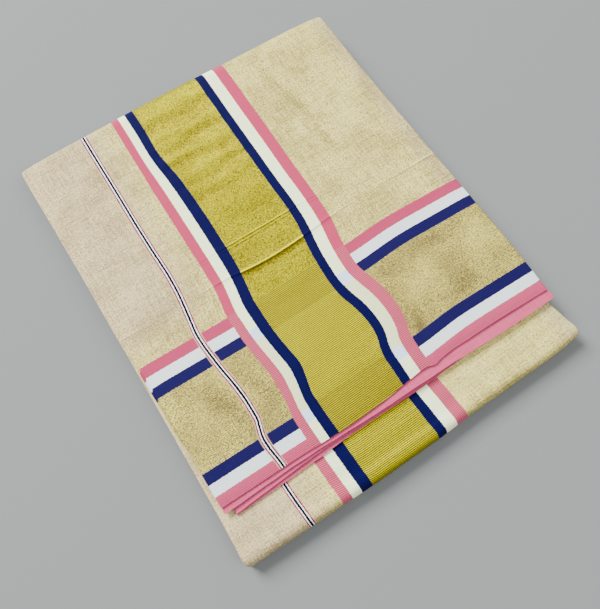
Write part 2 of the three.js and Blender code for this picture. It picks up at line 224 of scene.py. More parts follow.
# Soft hollows and crowns: across, along, half length, half width, turn in degrees, rise.
HOLLOWS = (
    (62, 114, 20, 3.6, 95, -0.60), (67, 92, 13, 3.2, 99, -0.75), (68, 60, 15, 4, 92, -0.45),
    (96, 70, 22, 9, 60, 0.40), (100, 22, 18, 5, 12, -0.30), (-88, 96, 30, 9, 78, -0.30),
    (-104, 30, 26, 10, 70, 0.30), (-88, -72, 22, 7.0, -62, -0.70), (-80, -60, 15, 3.5, -66, 0.40),
    (-104, -66, 18, 6, 72, 0.45), (-66, -68, 18, 6, -70, -0.60), (44, -52, 9, 5, -10, -0.75),
    (42, -92, 9, 3.5, 70, -0.80), (86, -50, 12, 5, -12, -0.75), (84, -87, 9, 6, 12, -0.65),
    (112, -64, 18, 9, 60, 0.60), (62, -68, 20, 8, 30, 0.35), (37, -61, 7, 1.6, 80, -0.40),
    (35, -86, 6, 1.6, 96, -0.45), (-57, -77, 5, 1.0, 12, -0.35), (-57, -80, 5, 1.0, 8, -0.40),
    (-56, -83, 4, 1.0, 4, -0.30), (52, -8, 16, 5, 8, -0.30), (90, -10, 18, 6, -6, 0.25),
    (-84, -10, 14, 5, 10, -0.25), (-70, 30, 12, 4, 60, 0.30), (-100, 0, 20, 5, 8, -0.25),
)
# Ripples along the strip beyond the near fold's crown: place along, rise, half width.
STRIP_RIPPLES = ((-149.0, 0.34, 1.7), (-145.6, -0.36, 2.2), (-141.6, 0.10, 1.4), (-139.0, 0.14, 1.0),
                 (-136.2, 0.20, 1.1), (-133.2, 0.14, 1.0), (-129.4, 0.12, 1.0))
# Fine ridges of the layers below along the sides: how far in, and their height and half width.
PRESSED_EDGES = (1.3, 2.9, 4.6)
EDGE_RIDGE = (0.12, 0.8)
# How strong the painted highlight on a crease's ridge is and how dark the painted shade under it,
# both for each millimetre of height, and how far that painted shade reaches.
RIDGE_HIGHLIGHT, UNDER_SHADE, PAINTED_SHADE_REACH = 2.6, 1.2, 2.4


def bump(away, half):
    """A rounded bump 1 high at the middle and 0 from its half width on."""
    return np.cos(np.clip(np.abs(away) / half, 0, 1) * math.pi / 2) ** 2


def on_gold(x):
    """1 on the gold band and 0 beside its stripes."""
    return ease(x, -46, -36) * (1 - ease(x, 10, 22))


def rough(x, y, long, wide, seed):
    """Low noise that is longer along one way than along the other."""
    flat = [noise.noise(Vector((a / long, b / wide, seed))) for a, b in zip(x.flat, y.flat)]
    return np.array(flat).reshape(x.shape)


def soft_relief(x, y):
    """Rise of the gold band's ripples and of the hollows and crowns."""
    rise = 0 * x
    for place, height, half, slant in GOLD_RIPPLES:
        ridge = place + slant * (x + 13) + 1.5 * np.sin(x / 7 + place)
        rise += height * on_gold(x) * bump(y - ridge, half)
    for a, b, long, wide, turn, height in HOLLOWS:
        c, s = math.cos(math.radians(turn)), math.sin(math.radians(turn))
        u, v = (x - a) * c + (y - b) * s, (y - b) * c - (x - a) * s
        rise += height * np.exp(-((u / long) ** 2) - (v / wide) ** 2)
    return rise


def painted_shading(x, y):
    """Painted light and shade at a place on the upper leaf: above 0 a painted highlight where the
    cloth is crowned or on a crease's ridge, below 0 painted shade in a hollow or under a crease."""
    painted_light = 0.9 * soft_relief(x, y) * (1 - 0.5 * on_gold(x))
    creases = [(y - curve(LONG_CREASES, x, 1), curve(LONG_CREASES, x, 2))]
    for offset, share in FINE_PAIR:
        creases.append(((y - FINE_CREASE - offset) * 2, share * curve(LONG_CREASES, x, 3)))
    for from_crease, height in creases:
        under = np.exp(np.minimum(from_crease + 0.4, 0) / PAINTED_SHADE_REACH) * (from_crease < -0.2)
        painted_light += height * (RIDGE_HIGHLIGHT * bump(from_crease - 0.3, 0.9) - UNDER_SHADE * under)
    return np.clip(painted_light, -1, 1)


def edge_ridges(share, width):
    """Rise of the fine ridges near both side edges of a leaf."""
    from_side = np.minimum(share, 1 - share) * width
    height, half = EDGE_RIDGE
    return sum(height * bump(from_side - place, half) for place in PRESSED_EDGES)


def upper_relief(x, y):
    """Rise of the creases, ripples and hollows at a place on the upper leaf."""
    rise = curve(LONG_CREASES, x, 2) * straight(CREASE_SHAPE, y - curve(LONG_CREASES, x, 1))
    for offset, share in FINE_PAIR:
        section = straight(CREASE_SHAPE, (y - FINE_CREASE - offset) * 3)
        rise += share * curve(LONG_CREASES, x, 3) * section
    rise += soft_relief(x, y)
    border = 1 - ease(y, -24, -4)
    rise += (0.10 + 0.16 * border) * rough(x, y, 24, 15, 3.1)
    rise += (0.05 + 0.07 * border) * rough(x, y, 9, 6, 8.7)
    return rise + 0.10 * on_gold(x) * rough(x, y, 30, 4.5, 5.3)


def strip_relief(x, y):
    """Rise of the ripples at a place on the strip that shows in front of the upper leaf."""
    rise = 0.06 * rough(x, y, 30, 6, 1.9)
    for place, height, half in STRIP_RIPPLES:
        rise += height * (0.35 + 0.65 * on_gold(x + 2)) * bump(y - place, half)
    return rise


print(len(GOLD_RIPPLES), "ripples in the gold band and", len(HOLLOWS), "hollows and crowns")

# %% [markdown]
# ## The way the outermost turn takes
# The outermost turn is one sheet. It starts at its free selvedge, runs over the upper leaf, round
# the far fold, along the underside, round the near fold and back in between the leaves. Each
# stretch below gives points of its outer face, with the way out of the cloth there and how far
# along the cut cloth the point lies.

# %% Stretches of the outermost turn
FAR_ARC = math.pi * FAR["depth"]
NEAR_ARC = math.pi * (NEAR["depth"] + NEAR_TOP / 2) / 2


def upper_leaf(t, share):
    y = SELVEDGE + (FAR["middle"] - SELVEDGE) * t
    x = across(UPPER_SIDES, y, share)
    selvedge, far = curve(TOP_SELVEDGE, x), fold_middle(FAR, x)
    y = y + (selvedge - SELVEDGE) * (1 - ease(t, 0, 0.12)) + (far - FAR["middle"]) * ease(t, 0.8, 1)
    sag = 0.4 * np.exp(-(((y - selvedge) / 2.5) ** 2))
    relief = upper_relief(x, y) * ease(far - y, 0, 10) + edge_ridges(share, UPPER_WIDTH)
    z = curve(UPPER_HEIGHT, y) - side_droop(y, share) + relief - sag
    return x, y, z, 0 * y, 1 + 0 * y, y


def far_fold(t, share):
    turn = math.pi * (0.5 - t)
    x = across(UPPER_SIDES, FAR["middle"], share) + CORNER * (1 - 2 * share) * np.cos(turn) ** 3
    middle = fold_middle(FAR, x)
    radius = (UPPER_TOP - side_droop(FAR["middle"], share)) / 2
    y, z = middle + FAR["depth"] * np.cos(turn), radius * (1 + np.sin(turn))
    return x, y, z, np.cos(turn) + 0 * x, np.sin(turn) + 0 * x, middle + FAR_ARC * t


def underside(t, share):
    y = FAR["middle"] - (FAR["middle"] + NEAR["middle"]) * t
    x = across(LOWER_SIDES, y, share)
    far, near = fold_middle(FAR, x), fold_middle(NEAR, x)
    y = far + (near - far) * t
    return x, y, 0 * y, 0 * y, 0 * y - 1, 2 * far + FAR_ARC - y


def near_fold(t, share):
    turn = math.pi * (t - 0.5)
    x = across(LOWER_SIDES, -NEAR["middle"], share) + CORNER * (1 - 2 * share) * np.cos(turn) ** 3
    far, near = fold_middle(FAR, x), fold_middle(NEAR, x)
    y = near - NEAR["depth"] * np.cos(turn)
    ridges = strip_relief(x, y) + edge_ridges(share, LOWER_WIDTH)
    z = NEAR_TOP / 2 * (1 + np.sin(turn)) + ridges * ease(turn + 0 * x, 0.3, 1.5)
    return x, y, z, -np.cos(turn) + 0 * x, np.sin(turn) + 0 * x, 2 * far - near + FAR_ARC + NEAR_ARC * t


def strip(t, share):
    y = -NEAR["middle"] + (NEAR["middle"] + STRIP_END) * t
    x = across(LOWER_SIDES, y, share)
    far, near = fold_middle(FAR, x), fold_middle(NEAR, x)
    bow = near + NEAR["middle"]
    y = y + bow * (1 - ease(t, 0, 0.1))
    ridges = strip_relief(x, y - bow) + edge_ridges(share, LOWER_WIDTH)
    z = curve(LOWER_HEIGHT, y - bow) + ridges * (1 - ease(y, -60, -40))
    along = 2 * far - 2 * near + FAR_ARC + NEAR_ARC + y
    return x, y, z, 0 * y, 1 + 0 * y, along


def steps(*parts):
    """Places from one value to the next, each part given as (from, to, how many)."""
    ends = [np.linspace(first, last, count, endpoint=False) for first, last, count in parts]
    return np.append(np.concatenate(ends), parts[-1][1])


# Rows stand closer at the creases, and columns at the side edges, where the cloth turns sharply.
UPPER_ROWS = steps((SELVEDGE, -112, 8), (-112, -6, 66), (-6, -1, 12), (-1, 5, 24), (5, 18, 10),
                   (18, 24, 20), (24, FAR["middle"], 68))
UPPER_ROWS = (UPPER_ROWS - SELVEDGE) / (FAR["middle"] - SELVEDGE)
STRIP_ROWS = steps((-NEAR["middle"], -114, 42), (-114, STRIP_END, 8)) + NEAR["middle"]
WAY = (
    (upper_leaf, UPPER_ROWS),
    (far_fold, steps((0, 1, 14))[1:]),
    (underside, steps((0, 1, 12))[1:]),
    (near_fold, steps((0, 1, 16))[1:]),
    (strip, STRIP_ROWS[1:] / (NEAR["middle"] + STRIP_END)),
)
COLUMNS = steps((0, 1.2, 4), (1.2, 6, 8), (6, 246, 108), (246, 250.8, 8), (250.8, LOWER_WIDTH, 4))
COLUMNS = COLUMNS / LOWER_WIDTH
print("rows:", sum(len(rows) for _, rows in WAY), "columns:", len(COLUMNS))

# %% [markdown]
# ## Where the stripes wander
# The stripes are woven straight. They wander on the packet because the cloth was pushed aside
# before it was pressed, mostly where the border puckers. Bending each stripe in its colour would
# hide that, so the cut cloth keeps straight stripes, and its map of the cut is shifted instead:
# five lines of the weave are led to where they lie, and the threads between follow.

# %% Sway of the weave
# Lines of the weave led across: narrow stripe, left set's two edges, right set's two edges.
LED = np.array([-127, -79.5, -57.5, -38.0, 12.0, 34.5, 127])
# Rows of (place along the cut, then how far each led line lies from its straight place).
SWAY = np.array([
    (-126, 0.6, -1.3, -2.2, -2.6, -2.7), (-117, 0.4, -1.3, -2.2, -2.6, -2.7),
    (-111, -0.2, -1.5, -2.5, -2.5, -2.7), (-104, -1.1, -1.6, -2.7, -2.4, -2.7),
    (-97, -1.1, -1.5, -2.8, -2.3, -2.4), (-90, 0.7, -0.4, -2.8, -0.9, -1.0),
    (-86, 1.9, 0.2, -1.9, 0.6, 0.6), (-81, 2.1, 0.5, -0.7, 1.8, 1.6),
    (-71, 2.1, 0.9, 1.2, 2.1, 2.4), (-59, 1.0, 0.0, -0.1, 0.2, 1.8),
    (-48, -0.6, -1.3, -1.2, -2.7, -0.8), (-38, -1.7, -2.1, -1.7, -3.5, -3.6),
    (-30, -2.4, -2.3, -1.6, -3.3, -3.7), (-20, -2.6, -2.4, -1.5, -2.8, -2.9),
    (-10, -1.4, -0.9, 0.0, -1.6, -1.2), (0, 0.0, 0.5, 1.4, 0.0, 0.8), (10, 1.2, 0.8, 2.3, 1.7, 1.5),
    (22, 1.9, 0.9, 2.7, 2.5, 2.0), (49, 1.5, 0.9, 3.2, 2.3, 2.2), (70, 1.4, 1.1, 2.9, 2.3, 2.7),
    (88, 1.6, 1.3, 1.9, 2.3, 3.1), (108, 1.7, 1.7, -0.5, 2.4, 3.3), (133, 1.8, 2.2, 0.3, 2.7, 3.7),
    (149, 1.9, 2.5, 0.3, 2.9, 3.7), (176, 1.6, 2.2, 0.6, 2.6, 3.2), (260, 0.5, -0.6, 1.2, 0.8, 1.4),
    (350, -1.2, 0.8, -0.8, -1.0, -1.6), (430, -2.2, -1.6, 0.4, 0.6, -0.4),
    (476, -2.8, -3.0, -1.7, -1.4, -1.0), (488, -3.5, -3.5, -1.9, -1.7, -1.1),
    (503, -4.6, -4.4, -2.5, -2.5, -2.0), (517, -5.1, -5.0, -3.0, -3.2, -3.0),
    (530, -5.1, -5.0, -3.0, -3.2, -3.0),
])
# Rows of (place across, shift of the border's outer rows, shift of its inner rows).
ROW_SHIFT = np.array([
    (-124, -0.1, 0.5), (-92, -0.5, -0.3), (-60, -1.2, -1.0), (0, -0.6, -0.6), (35, -0.1, -0.1),
    (65, 1.7, 1.4), (96, 1.2, 0.4), (127, 0.4, -0.8),
])


def cut_place(x, along):
    """Where a point lies on the cut cloth, in the packet's directions: across, and from the
    selvedge."""
    lies = [LED[0] + 0 * x]
    lies += [LED[k] + curve(SWAY, along, k) for k in range(1, 6)]
    lies.append(LED[-1] + 0 * x)
    u = x.copy()
    for k in range(6):
        inside = (x >= lies[k]) & (x < lies[k + 1])
        share = (x - lies[k]) / (lies[k + 1] - lies[k])
        u = np.where(inside, LED[k] + share * (LED[k + 1] - LED[k]), u)
    inner = ease(along, -95, -43)
    shift = curve(ROW_SHIFT, x, 1) * (1 - inner) + curve(ROW_SHIFT, x, 2) * inner
    return u, along - SELVEDGE - shift * (1 - ease(along, 0, 40))


print("the weave sways by up to", float(np.abs(SWAY[:, 1:]).max()), "mm")

# %% [markdown]
# ## Laying a sheet
# A sheet starts as what it really is, a flat grid. Its points then go to their folded places, its
# texture map keeps the place of each point on the cut cloth, and a Solidify modifier gives it its
# wall, inwards. Cloth simulation could fold it too, but it would not stop at these creases.

# %% Lay a sheet of cloth
def lay_sheet(name, x, y, z, u, v, wall, painted_light=None):
    """Lay a grid's outer face at x, y, z, with its place on the cut cloth at u, v and, where it
    is given, the painted light and shade at each point."""
    rows, columns = x.shape
    bpy.ops.object.select_all(action="DESELECT")
    bpy.ops.mesh.primitive_grid_add(x_subdivisions=columns - 1, y_subdivisions=rows - 1, size=1)
    piece = bpy.context.object
    piece.name = piece.data.name = name
    mesh = piece.data
    flat = np.empty(3 * len(mesh.vertices))
    mesh.vertices.foreach_get("co", flat)
    column = np.rint((flat[0::3] + 0.5) * (columns - 1)).astype(int)
    row = np.rint((flat[1::3] + 0.5) * (rows - 1)).astype(int)
    mesh.vertices.foreach_set("co", (np.stack((x, y, z), axis=-1)[row, column] * MM).ravel())
    corner = np.empty(len(mesh.loops), dtype=int)
    mesh.loops.foreach_get("vertex_index", corner)
    mesh.uv_layers[0].name = "cut"
    cut = np.stack((u, v), axis=-1)[row, column] * MM
    mesh.uv_layers[0].data.foreach_set("uv", cut[corner].ravel())
    if painted_light is not None:
        mesh.attributes.new("painted_light", "FLOAT", "POINT").data.foreach_set("value", painted_light[row, column])
    mesh.update()
    thickness = piece.modifiers.new("wall", "SOLIDIFY")
    thickness.thickness = wall * MM
    thickness.offset = -1
    bpy.ops.object.modifier_apply(modifier=thickness.name)
    bpy.ops.object.shade_smooth_by_angle(angle=math.radians(40))
    return piece


def round_sides(x, y, z, ny, nz, reach, depth):
    """Sink the side edges into the packet, as a pressed fold does."""
    from_side = np.minimum(x - x[:, :1], x[:, -1:] - x)
    sink = depth * np.clip(1 - from_side / reach, 0, 1) ** 2
    return y - ny * sink, z - nz * sink


def triangles(piece):
    return sum(len(face.vertices) - 2 for face in piece.data.polygons)


# %% [markdown]
# ## The outermost turn
# On the saree this is one stretch of end piece. It could be laid as four pieces that meet at the
# folds, but one sheet has no seams, so the weave runs on round both folds. The near fold's front
# gets painted shade, as the cloth under a crease does.

# %% The outermost turn
# Painted shade on the near fold's front face, as dark as under a crease.
FRONT_SHADE = -0.8
SIDE_ROUND = 1.2  # how far in from a side edge the cloth starts to sink
stretches = [np.broadcast_arrays(*stretch(rows[:, None], COLUMNS[None, :])) for stretch, rows in WAY]
x, y, z, ny, nz, along = (np.concatenate(parts) for parts in zip(*stretches))
y, z = round_sides(x, y, z, ny, nz, SIDE_ROUND, 0.4)
on_top = np.arange(len(y))[:, None] < len(UPPER_ROWS)
front_shade_share = ease(-y, NEAR["middle"], NEAR["middle"] + 6)
# Painted light and shade for each point: at creases, crowns and hollows on top, and painted shade on the
# near fold's front.
painted_light = np.where(on_top, painted_shading(x, y) * ease(FAR["middle"] - y, 0, 10), FRONT_SHADE * front_shade_share)
pallu = lay_sheet("pallu_turn", x, y, z, *cut_place(x, along), WALL, painted_light)
print(pallu.name, triangles(pallu), "triangles; cut length", round(float(np.ptp(along)), 1), "mm")

# %% [markdown]
# ## Loose selvedges
# Under the top selvedge peep the selvedges of other turns. They are plain pink, each a little
# further out than the one above. Real ones are several thin edges lying together, so each is a
# sheet that rests on the one below at its edge and spreads to its place in the pile inwards.

# %% Loose selvedges
# Rows of (name, leaves below it, height where it leaves the pile, left end, right end, free edge).
LEAVES = (
    ("selvedge_second", 2, 14.8, -122.4, 127.0,
     [(-122, -121.8), (-60, -121.1), (-20, -122.5), (45, -123.3), (100, -125.0), (127, -124.8)]),
    ("selvedge_third", 1, 13.2, -116.6, 121.0,
     [(-116, -125.4), (-90, -124.0), (-60, -122.8), (-35, -122.3), (121, -122.3)]),
    ("selvedge_fourth", 0, 10.8, -116.8, 121.4,
     [(-116, -126.1), (-60, -125.5), (-40, -124.8), (30, -124.8), (60, -123.2), (121, -123.0)]),
)
LEAF_ROWS, LEAF_COLUMNS = steps((0, 0.1, 6), (0.1, 1, 14)), steps((0, 1, 110))
LEAF_PITCH = 1.3  # from one leaf's top to the next
leaves = []
for name, level, root, left, right, edge in LEAVES:
    t, share = np.broadcast_arrays(LEAF_ROWS[:, None], LEAF_COLUMNS[None, :])
    x = left + (right - left) * share
    free = curve(np.array(edge), x) + 0.25 * rough(x, 0 * x + level, 7, 1, 2.3)
    y = free + (LEAF_ROOT - free) * t
    resting = curve(LOWER_HEIGHT, y) + GAP + 1 + LEAF_PITCH * level
    lift = 0.22 * rough(x, y, 14, 6, level + 0.4) * (1 - ease(t, 0, 0.3))
    z = resting + (root + 1 - resting) * ease(t, 0.15, 1) + lift
    y, z = round_sides(x, y, z, 0, 1, SIDE_ROUND, 0.25)
    leaves.append(lay_sheet(name, x, y, z, x, y - free, WALL))
    print(name, triangles(leaves[-1]), "triangles")

# %% [markdown]
# ## Inner turns
# The other turns lie inside the outermost one. Only their turned side edges show, as fine lines on
# the packet's sides. One solid with grooves would do from far off, but thin sheets nested round
# both folds give the true look of pressed layers, uneven as a hand leaves them. Each sheet here
# stands for three or four turns.

# %% Inner turns
TURNS = 6
INNER_WALL = 0.36
ROUND_ROWS = 13  # rows of a sheet round a fold


def between(pair, share):
    """A value at a share of the way from the first of a pair to the second."""
    return pair[0] + (pair[1] - pair[0]) * share


def inner_turn(depth, share):
    """Rows of one inner turn: place along, height, share of the lower leaf's outline, narrowing.
    Its depth goes from 0 at the pile's outer face to 1 at its inner one."""
    far = fold_middle(FAR, across(UPPER_SIDES, FAR["middle"], share))
    near = fold_middle(NEAR, across(LOWER_SIDES, -NEAR["middle"], share))
    droop = side_droop(0, share) * (1 - depth)
    # Heights of the stretches, each from the pile's outer face to its inner one.
    above, below = between((16.2, 13.2), depth), between((10.3, 12.8), depth)
    under, slot, crown = (between(pair, depth) for pair in ((1.0, 4.8), (9.1, 5.4), (10.5, 5.4)))

    def level(first, last, count, follows, height):
        y = between((first, last), np.linspace(0, 1, count)[:, None]) + 0 * share
        return y, height(y), follows + 0 * y, 0 * y

    def turned(fold, middle, first, reach, low, high, follows):
        angle = np.radians(np.linspace(first, -first, ROUND_ROWS)[:, None])
        y = middle + fold["side"] * reach * np.cos(angle)
        z = (low + high) / 2 + (high - low) / 2 * np.sin(angle) + 0 * share
        lower = between(follows, np.linspace(0, 1, ROUND_ROWS)[:, None]) + 0 * y
        return y, z, lower, CORNER * np.cos(angle) ** 3 + 0 * y

    parts = (
        level(LEAF_ROOT, far, 26, 0.3, lambda y: above - droop * ease(y, LEAF_ROOT, DROOP["full"])),
        turned(FAR, far, 90, between((8.1, 4.6), depth), under, above - droop, (0.3, 1)),
        level(far, near, 18, 1, lambda y: under + 0 * y),
        turned(NEAR, near, -90, between((4.7, 0.8), depth), under, crown, (1, 1)),
        level(near, far, 26, 1, lambda y: between((curve(LOWER_HEIGHT, y) - 0.9, 5.4), depth)),
        turned(FAR, far, -90, between((0.9, 3.9), depth), slot, below, (1, 0.65)),
        level(far, LEAF_ROOT, 26, 0.65, lambda y: below + 0 * y),
    )
    return (np.concatenate(part) for part in zip(*parts))


INNER_COLUMNS = steps((0, 3, 4), (3, 30, 3), (30, 222, 4), (222, 249, 3), (249, LOWER_WIDTH, 4))
INNER_COLUMNS = INNER_COLUMNS[None, :] / LOWER_WIDTH
inner = []
for k in range(TURNS):
    y, z, lower, narrow = inner_turn((k + 0.1) / TURNS, INNER_COLUMNS)
    x = between((across(UPPER_SIDES, y, INNER_COLUMNS), across(LOWER_SIDES, y, INNER_COLUMNS)), lower)
    stretch = np.hypot(np.diff(y, axis=0), np.diff(z, axis=0)).mean(axis=1)
    path = np.concatenate(([0], np.cumsum(stretch)))[:, None] + 0 * y
    uneven = 0.9 + 0.9 * rough(path, 0 * path + 9 * k, 60, 1, 0.5) + 0.3 * rough(path, x, 15, 90, k + 0.5)
    from_end = np.minimum(path, path[-1:] - path)
    from_selvedge = LEAF_ROOT - SELVEDGE + from_end
    x = x + (uneven + narrow + 3 * (1 - ease(from_end, 0, 14))) * (1 - 2 * INNER_COLUMNS)
    inner.append(lay_sheet(f"inner_turn_{k}", x, y, z, x, from_selvedge, INNER_WALL))
bpy.ops.object.select_all(action="DESELECT")
for turn in inner:
    turn.select_set(True)
bpy.context.view_layer.objects.active = inner[0]
bpy.ops.object.join()
inner_turns = bpy.context.object
inner_turns.name = inner_turns.data.name = "inner_turns"
print(inner_turns.name, triangles(inner_turns), "triangles; a turn is", round(path[-1, 0]), "mm long")

# %% [markdown]
# ## Colours and shader tools
# Colours are given as they look on the cloth and turned into the linear values that shaders use.
# A woven stripe, a thread and the painted sheen of metal thread are needed by several cloths, so
# each is a node group: it is made once, and each cloth sets its own values.

# %% Shader tools
def shade(red, green, blue):
    """A linear colour from the red, green and blue of a swatch, 0 to 255."""
    linear = [((c / 255 + 0.055) / 1.055) ** 2.4 if c > 10 else c / 3294.6 for c in (red, green, blue)]
    return (*linear, 1)


def put(tree, kind, inputs=None, **settings):
    """Add a node, set it up, and set or link its inputs."""
    node = tree.nodes.new(kind)
    for name, value in settings.items():
        setattr(node, name, value)
    for name, value in (inputs or {}).items():
        if isinstance(value, bpy.types.NodeSocket):
            tree.links.new(value, node.inputs[name])
        else:
            node.inputs[name].default_value = value
    return node


def sums(tree, operation, first, second=0.0):
    """One step of arithmetic with one or two values."""
    return put(tree, "ShaderNodeMath", {0: first, 1: second}, operation=operation).outputs[0]


def plus(tree, first, second):
    return sums(tree, "ADD", first, second)


def times(tree, first, second):
    return sums(tree, "MULTIPLY", first, second)


def rest_of(tree, share):
    """What is left of 1."""
    return sums(tree, "SUBTRACT", 1.0, share)


def blend(tree, share, first, second, kind="MIX"):
    node = put(tree, "ShaderNodeMix", {0: share, 6: first, 7: second}, data_type="RGBA", blend_type=kind)
    return node.outputs[2]


def ramp(tree, value, first, last, low=0.0, high=1.0):
    """Map a value from one range onto another with a soft step."""
    inputs = {0: value, 1: first, 2: last, 3: low, 4: high}
    return put(tree, "ShaderNodeMapRange", inputs, interpolation_type="SMOOTHSTEP").outputs[0]


def spots(tree, place, scale, detail=2.0):
    node = put(tree, "ShaderNodeTexNoise", {"Vector": place, "Scale": scale, "Detail": detail})
    return node.outputs["Fac"]


def new_group(name, inputs, outputs):
    tree = bpy.data.node_groups.new(name, "ShaderNodeTree")
    for in_out, sockets in (("INPUT", inputs), ("OUTPUT", outputs)):
        for socket, kind in sockets.items():
            tree.interface.new_socket(socket, in_out=in_out, socket_type="NodeSocket" + kind)
    return tree, tree.nodes.new("NodeGroupInput").outputs, tree.nodes.new("NodeGroupOutput").inputs


def use(tree, group, **inputs):
    """Place a node group; a keyword's underscores stand for spaces."""
    named = {name.replace("_", " "): value for name, value in inputs.items()}
    return put(tree, "ShaderNodeGroup", named, node_tree=group).outputs


# A woven stripe: 1 between two places, with edges as soft as a thread is wide.
stripe, given, made = new_group(
    "Woven stripe", {"Place": "Float", "From": "Float", "To": "Float", "Soft": "Float"},
    {"Mask": "Float"})
edges = []
for end in ("From", "To"):
    low, high = (sums(stripe, way, given[end], given["Soft"]) for way in ("SUBTRACT", "ADD"))
    edges.append(ramp(stripe, given["Place"], low, high))
stripe.links.new(sums(stripe, "SUBTRACT", *edges), made["Mask"])

# Plain weave: warp, down the saree's length, lies across the packet and weft along it. The thread
# on top at a crossing gives the height, and each short length of thread is a little lighter or
# darker than the next. Flecks a few threads wide, where metal thread glints or lies dull, are added
# to that shade.
SHADE_LENGTH = 1.3  # how long a thread keeps its shade
SHADE_STEP = 0.37  # how far along the next thread changes, as a share of that length
FLECK = 0.38
weave, given, made = new_group(
    "Plain weave", {"Across": "Float", "Along": "Float", "Thread": "Float"},
    {"Height": "Float", "Thread shade": "Float"})
index, crown, shades = {}, {}, {}
for way, other in (("Across", "Along"), ("Along", "Across")):
    count = sums(weave, "DIVIDE", given[way], given["Thread"])
    index[way] = sums(weave, "FLOOR", count)
    crown[way] = sums(weave, "ABSOLUTE", sums(weave, "SINE", times(weave, count, math.pi)))
    length = sums(weave, "DIVIDE", given[other], SHADE_LENGTH)
    length = sums(weave, "FLOOR", plus(weave, length, times(weave, index[way], SHADE_STEP)))
    thread = put(weave, "ShaderNodeCombineXYZ", {0: index[way], 1: length}).outputs[0]
    chance = put(weave, "ShaderNodeTexWhiteNoise", {"Vector": thread}, noise_dimensions="2D")
    shades[way] = chance.outputs["Value"]
crossing = sums(weave, "MODULO", plus(weave, index["Across"], index["Along"]), 2.0)
weft_on_top = sums(weave, "ABSOLUTE", crossing)
place = put(weave, "ShaderNodeCombineXYZ", {0: given["Across"], 1: given["Along"]}).outputs[0]
fleck = ramp(weave, spots(weave, place, 1.0, 3.0), 0.3, 0.7, -FLECK, FLECK)
upper = {name: ramp(weave, weft_on_top, 0, 1, both["Along"], both["Across"])
         for name, both in (("Height", crown), ("Thread shade", shades))}
weave.links.new(upper["Height"], made["Height"])
weave.links.new(plus(weave, upper["Thread shade"], fleck), made["Thread shade"])

# Thick and thin threads: long faint streaks along and across the cloth.
slub, given, made = new_group("Slub", {"Across": "Float", "Along": "Float"}, {"Streak": "Float"})
streaks = []
for a, b in (((0.9, "Across"), (0.05, "Along")), ((0.05, "Across"), (0.9, "Along"))):
    stretched = [times(slub, given[name], scale) for scale, name in (a, b)]
    place = put(slub, "ShaderNodeCombineXYZ", {0: stretched[0], 1: stretched[1]}).outputs[0]
    streaks.append(spots(slub, place, 1.0, 3.0))
slub.links.new(ramp(slub, plus(slub, *streaks), 0.7, 1.3), made["Streak"])

# Painted sheen: broad uneven patches where the metal thread is painted brighter.
zari, given, made = new_group("Zari painted sheen", {"Place": "Vector"}, {"Sheen": "Float"})
zari.links.new(ramp(zari, spots(zari, given["Place"], 0.035, 5.0), 0.36, 0.64), made["Sheen"])
print("shader groups:", [tree.name for tree in bpy.data.node_groups])

# %% [markdown]
# ## The ground of the cloth
# The ground is a fine tissue, cotton shot with gold thread. Along each selvedge runs a border:
# pink, white and navy rows, a field of denser gold tissue, and navy, white and pink rows. They
# could be strips of their own, but they are woven in the saree's length, so here they depend only
# on how far a thread lies from the selvedge. The painted light given with the sheet adds a painted
# highlight on creases and painted shade under them and in hollows.

# %% Ground and border
THREAD = 0.31  # from one thread to the next
SOFT, RAGGED = 0.2, 0.14  # how soft a stripe's edge is, and how far it strays
GROOVE = shade(90, 80, 70)  # shadow between threads
TISSUE_METAL, FIELD_METAL, BAND_METAL = 0.18, 0.42, 0.5  # share of metal thread
# Each colour pair below is a lit and a dull tone. What picks between them is partly random thread tone
# and partly painted sheen, highlight and shade.
CREAM, CREAM_DEEP = shade(236, 221, 136), shade(136, 124, 64)
LINEN, LINEN_DEEP = shade(218, 198, 150), shade(142, 126, 90)
BORDER_GLOW, BORDER_DEEP = shade(218, 204, 104), shade(104, 89, 52)
PINK, PALE_PINK = shade(172, 60, 92), shade(184, 72, 103)
WHITE, NAVY = shade(220, 230, 230), shade(22, 16, 70)
# Rows of (from, to, colour) from the selvedge inwards, and the gold field between them.
ROWS = ((-9.0, 7.3, PALE_PINK), (7.3, 14.8, WHITE), (14.8, 22.4, NAVY),
        (75.4, 83.0, NAVY), (83.0, 90.6, WHITE), (90.6, 98.2, PINK))
FIELD = (22.4, 75.4)
BORDER_END = ROWS[-1][1]

ground, given, made = new_group(
    "Saree ground", {"Across": "Float", "From selvedge": "Float", "Rub": "Float"},
    {"Colour": "Color", "Metal": "Float", "Height": "Float", "Row": "Float", "Navy row": "Float"})
a, s = given["Across"], given["From selvedge"]
place = put(ground, "ShaderNodeCombineXYZ", {0: a, 1: s}).outputs[0]
painted_sheen = use(ground, zari, Place=place)["Sheen"]
threads = use(ground, weave, Across=a, Along=s, Thread=THREAD)
streak = use(ground, slub, Across=a, Along=s)["Streak"]
# The tissue is pinker to the left of the bands and along the right side.
left = times(ground, ramp(ground, a, -40, -95), ramp(ground, s, 92, 130))
pinkish = sums(ground, "MAXIMUM", left, ramp(ground, a, 108, 121, 0.0, 0.7))
# Sparkle picks the lit or the dull tone: random thread tone and streaks, painted sheen in broad
# patches, a painted highlight on creases with painted shade under them and in hollows, and
# painted light on the near strip.
sparkle = times(ground, threads["Thread shade"], ramp(ground, painted_sheen, 0, 1, 0.75, 1.2))
sparkle = plus(ground, sparkle, ramp(ground, streak, 0, 1, -0.2, 0.2))
sparkle = plus(ground, sparkle, times(ground, given["Rub"], 0.7))
